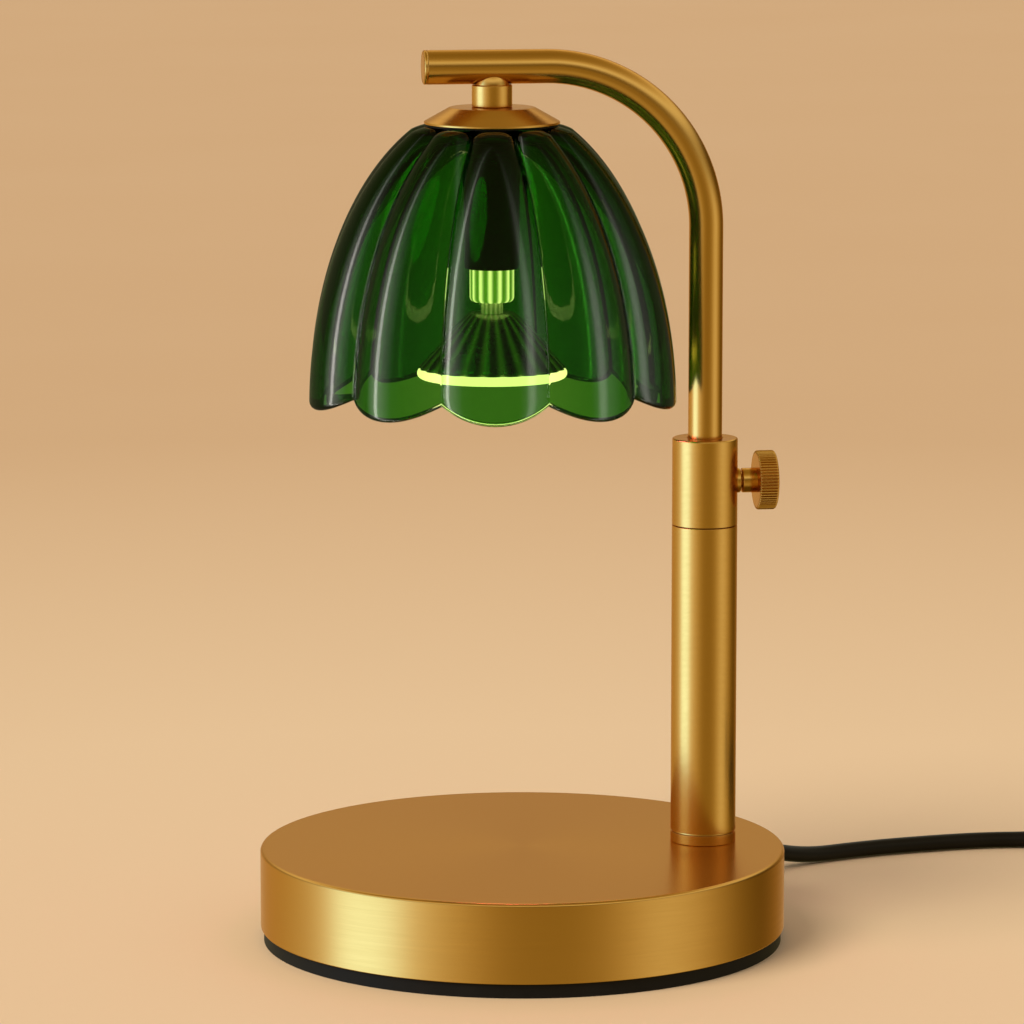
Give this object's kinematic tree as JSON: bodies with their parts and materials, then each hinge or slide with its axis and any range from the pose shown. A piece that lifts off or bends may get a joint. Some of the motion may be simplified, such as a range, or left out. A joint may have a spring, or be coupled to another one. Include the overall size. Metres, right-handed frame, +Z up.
{
  "type": "candle warmer lamp",
  "caption": "Table lamp that melts a jar candle from above: round weighted base, height-adjustable bent arm and a petal-shaped green glass shade over a dimmable halogen lamp.",
  "frame": {"origin": "centre of the round base on the surface it stands on", "axes": "+Z up; the pole stands on +X and the arm reaches back over the base towards -X"},
  "size_m": [0.4345, 0.225, 0.2885],
  "materials": {
    "brushed_brass": "satin brushed, lacquered",
    "green_glass": "clear deep green, polished",
    "black_rubber": "matt",
    "black_cord": "matt",
    "lead_sheath": "satin",
    "core_sheath": "satin",
    "ballast_iron": "painted black",
    "zinc_steel": "zinc plated",
    "white_nylon": "smooth",
    "cap_gasket": "matt",
    "dark_metal": "satin black",
    "white_ceramic": "glazed",
    "amber_lamp_base": "glossy, lit from inside",
    "pin_brass": "bright",
    "reflector": "vacuum coated, fluted",
    "lamp_ring": "bright",
    "lens_glass": "moulded",
    "black_plastic": "fine satin",
    "circuit_board": "solder mask",
    "nickel_pins": "nickel plated"
  },
  "bodies": {
    "base": {"foot_pad": "black_rubber", "bottom_plate": "zinc_steel", "base_screws": "zinc_steel", "base_shell": "brushed_brass", "ballast_weight": "ballast_iron", "pole_stud": "zinc_steel", "stud_nut": "zinc_steel", "stud_washer": "zinc_steel", "pole_foot": "brushed_brass", "pole_tube": "brushed_brass", "clamp_collar": "brushed_brass", "collar_bush": "white_nylon", "cord_inner": "black_cord", "cord_cores": "core_sheath", "terminal_block": "white_nylon", "pole_lead": "lead_sheath", "cord_clamp": "white_nylon", "cord_clamp_screws": "zinc_steel", "cord_strain_relief": "black_rubber", "power_cord": "black_cord", "dimmer_case_bottom": "black_plastic", "dimmer_case_top": "black_plastic", "dimmer_board": "circuit_board", "dimmer_screws": "zinc_steel", "dimmer_reliefs": "black_rubber", "coil_lead": "black_cord", "cord_coil": "black_cord", "coil_tie": "black_plastic", "plug_lead": "black_cord", "plug_body": "black_plastic", "plug_pins": "nickel_pins"},
    "slider": {"arm_guide_plug": "white_nylon"},
    "arm": {"arm_tube": "brushed_brass", "arm_end_cap": "brushed_brass", "arm_clip": "zinc_steel", "arm_ferrule": "white_nylon", "neck_nipple": "zinc_steel", "neck_saddle": "brushed_brass", "neck_sleeve": "brushed_brass", "shade_cap": "brushed_brass", "shade_gasket": "cap_gasket", "glass_shade": "green_glass", "cover_washer": "black_rubber", "holder_cover": "dark_metal", "cover_nut": "zinc_steel", "socket_carrier": "zinc_steel", "socket_screws": "zinc_steel", "lamp_socket": "white_ceramic", "lamp_base": "amber_lamp_base", "lamp_pins": "pin_brass", "lamp_neck": "amber_lamp_base", "lamp_reflector": "reflector", "lamp_ring": "lamp_ring", "lamp_lens": "lens_glass", "lamp_capsule": "lens_glass", "arm_lead": "lead_sheath"},
    "clamp": {"clamp_pad": "white_nylon"},
    "thumbscrew": {"thumb_screw": "brushed_brass", "thumb_knob": "brushed_brass"},
    "wheel": {"dimmer_wheel": "black_plastic"}
  },
  "joints": [
    {"name": "height_slide", "type": "slide", "parent": "base", "child": "slider", "axis": [0, 0, 1], "range_m": [-0.012, 0.05]},
    {"name": "arm_swing", "type": "hinge", "parent": "slider", "child": "arm", "pos_m": [0.0595, 0, 0.0768], "axis": [0, 0, 1], "range_deg": [-180, 180]},
    {"name": "clamp_travel", "type": "slide", "parent": "base", "child": "clamp", "axis": [1, 0, 0], "range_m": [0, 0.0016]},
    {"name": "thumbscrew_turn", "type": "hinge", "parent": "clamp", "child": "thumbscrew", "pos_m": [0.0762, 0, 0.14855], "axis": [1, 0, 0], "range_deg": [0, 725]},
    {"name": "dimmer_wheel_turn", "type": "hinge", "parent": "base", "child": "wheel", "pos_m": [0.258, 0.0985, 0.0085], "axis": [0, 0, 1], "range_deg": [0, 270]}
  ],
  "couplings": [
    {"joint": "thumbscrew_turn", "follows": "clamp_travel", "rad_per_m": 7854}
  ]
}
